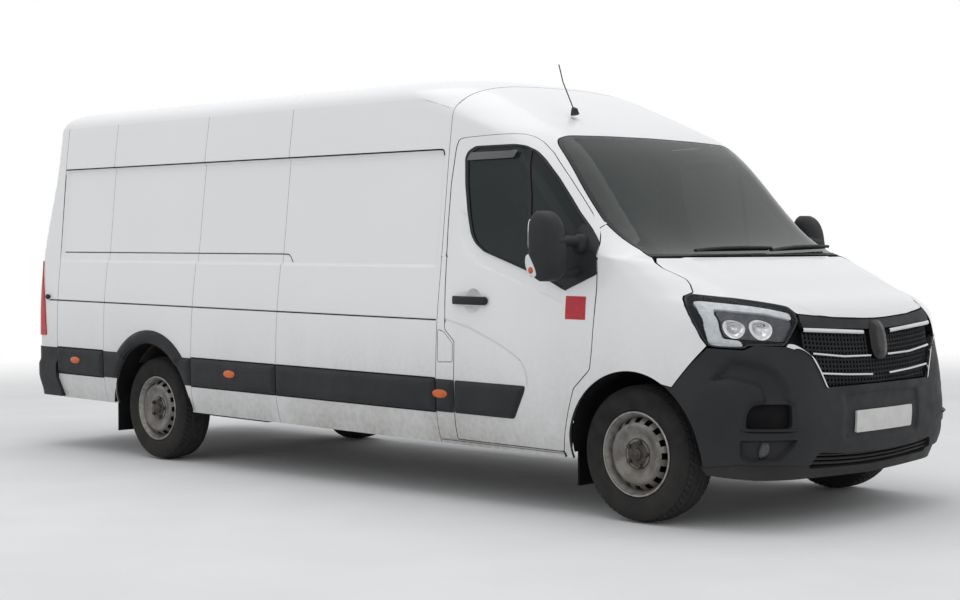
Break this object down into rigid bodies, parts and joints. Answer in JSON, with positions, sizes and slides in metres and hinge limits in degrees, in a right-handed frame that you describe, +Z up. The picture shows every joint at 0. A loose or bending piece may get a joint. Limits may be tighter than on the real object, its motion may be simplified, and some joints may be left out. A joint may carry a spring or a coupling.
{
  "type": "panel van",
  "caption": "Long mid-roof panel van with hinged front and rear doors, opening bonnet and fuel flap, and steered front wheels.",
  "frame": {"origin": "on the ground under the middle of the van's length and width", "axes": "+X forward, +Y to the van's left, +Z up"},
  "size_m": [6.877, 2.57, 2.5446],
  "materials": {
    "white_paint": "gloss",
    "black_plastic": "textured",
    "grille_plastic": "satin",
    "glass": "clear",
    "lamp_lens": "clear",
    "red_lens": "gloss",
    "tyre_rubber": "matt",
    "wheel_steel": "worn",
    "chassis_steel": "matt",
    "seat_fabric": "woven"
  },
  "bodies": {
    "van_body": {"aerial": "black_plastic", "arch_liners": "black_plastic", "bulkhead": "chassis_steel", "cab_frame": "white_paint", "cab_roof": "white_paint", "cargo_roof": "white_paint", "chassis_rails": "chassis_steel", "cross_members": "chassis_steel", "dashboard": "black_plastic", "engine": "chassis_steel", "exhaust": "chassis_steel", "front_bumper": "black_plastic", "front_subframe": "chassis_steel", "fuel_tank": "chassis_steel", "grille": "grille_plastic", "headlamps": "lamp_lens", "leaf_springs": "chassis_steel", "load_floor": "chassis_steel", "propshaft": "chassis_steel", "rear_axle": "chassis_steel", "rear_bumper": "black_plastic", "seats": "seat_fabric", "side_mouldings": "black_plastic", "side_panels_left": "white_paint", "side_panels_right": "white_paint", "sliding_door": "white_paint", "spare_wheel": "tyre_rubber", "tail_lamps": "red_lens", "windscreen": "glass", "wing_left": "white_paint", "wing_right": "white_paint", "wipers": "black_plastic"},
    "front_door_right": {"front_door_right": "white_paint", "door_glass_right": "glass", "mirror_right": "black_plastic", "door_moulding_right": "black_plastic"},
    "front_door_left": {"front_door_left": "white_paint", "door_glass_left": "glass", "mirror_left": "black_plastic", "door_moulding_left": "black_plastic"},
    "rear_door_right": {"rear_door_right": "white_paint"},
    "rear_door_left": {"rear_door_left": "white_paint"},
    "bonnet": {"bonnet": "white_paint"},
    "fuel_flap": {"fuel_flap": "white_paint"},
    "knuckle_right": {"knuckle_right": "chassis_steel"},
    "knuckle_left": {"knuckle_left": "chassis_steel"},
    "wheel_front_right": {"rim_front_right": "wheel_steel", "tyre_front_right": "tyre_rubber"},
    "wheel_front_left": {"rim_front_left": "wheel_steel", "tyre_front_left": "tyre_rubber"},
    "wheel_rear_right": {"rim_rear_right": "wheel_steel", "tyre_rear_right": "tyre_rubber"},
    "wheel_rear_left": {"rim_rear_left": "wheel_steel", "tyre_rear_left": "tyre_rubber"}
  },
  "joints": [
    {"name": "front_door_right_hinge", "type": "hinge", "parent": "van_body", "child": "front_door_right", "pos_m": [2.22173, -1.03, 0.90518], "axis": [0.0147, 0, 0.9999], "range_deg": [0, 65]},
    {"name": "front_door_left_hinge", "type": "hinge", "parent": "van_body", "child": "front_door_left", "pos_m": [2.22173, 1.03, 0.90518], "axis": [-0.0147, 0, -0.9999], "range_deg": [0, 65]},
    {"name": "rear_door_right_hinge", "type": "hinge", "parent": "van_body", "child": "rear_door_right", "pos_m": [-3.28103, -0.985, 0.78584], "axis": [0.0942, 0.063, 0.9936], "range_deg": [0, 180]},
    {"name": "rear_door_left_hinge", "type": "hinge", "parent": "van_body", "child": "rear_door_left", "pos_m": [-3.28103, 0.985, 0.78584], "axis": [-0.0942, 0.063, -0.9936], "range_deg": [0, 180]},
    {"name": "bonnet_hinge", "type": "hinge", "parent": "van_body", "child": "bonnet", "pos_m": [2.69755, 0, 1.29825], "axis": [0, -1, 0], "range_deg": [0, 50]},
    {"name": "fuel_flap_hinge", "type": "hinge", "parent": "van_body", "child": "fuel_flap", "pos_m": [1.14926, -1.034, 0.8809], "axis": [-0.0147, 0, -0.9999], "range_deg": [0, 90]},
    {"name": "steer_right", "type": "hinge", "parent": "van_body", "child": "knuckle_right", "pos_m": [2.5685, -0.8, 0.356], "axis": [0, 0, 1], "range_deg": [-32, 32]},
    {"name": "steer_left", "type": "hinge", "parent": "van_body", "child": "knuckle_left", "pos_m": [2.5685, 0.8, 0.356], "axis": [0, 0, 1], "range_deg": [-32, 32]},
    {"name": "wheel_front_right_spin", "type": "hinge", "parent": "knuckle_right", "child": "wheel_front_right", "pos_m": [2.5685, -0.875, 0.356], "axis": [0, 1, 0], "continuous": true},
    {"name": "wheel_front_left_spin", "type": "hinge", "parent": "knuckle_left", "child": "wheel_front_left", "pos_m": [2.5685, 0.875, 0.356], "axis": [0, 1, 0], "continuous": true},
    {"name": "wheel_rear_right_spin", "type": "hinge", "parent": "van_body", "child": "wheel_rear_right", "pos_m": [-1.7635, -0.865, 0.356], "axis": [0, 1, 0], "continuous": true},
    {"name": "wheel_rear_left_spin", "type": "hinge", "parent": "van_body", "child": "wheel_rear_left", "pos_m": [-1.7635, 0.865, 0.356], "axis": [0, 1, 0], "continuous": true}
  ],
  "couplings": [
    {"joint": "steer_left", "follows": "steer_right", "ratio": 1}
  ]
}
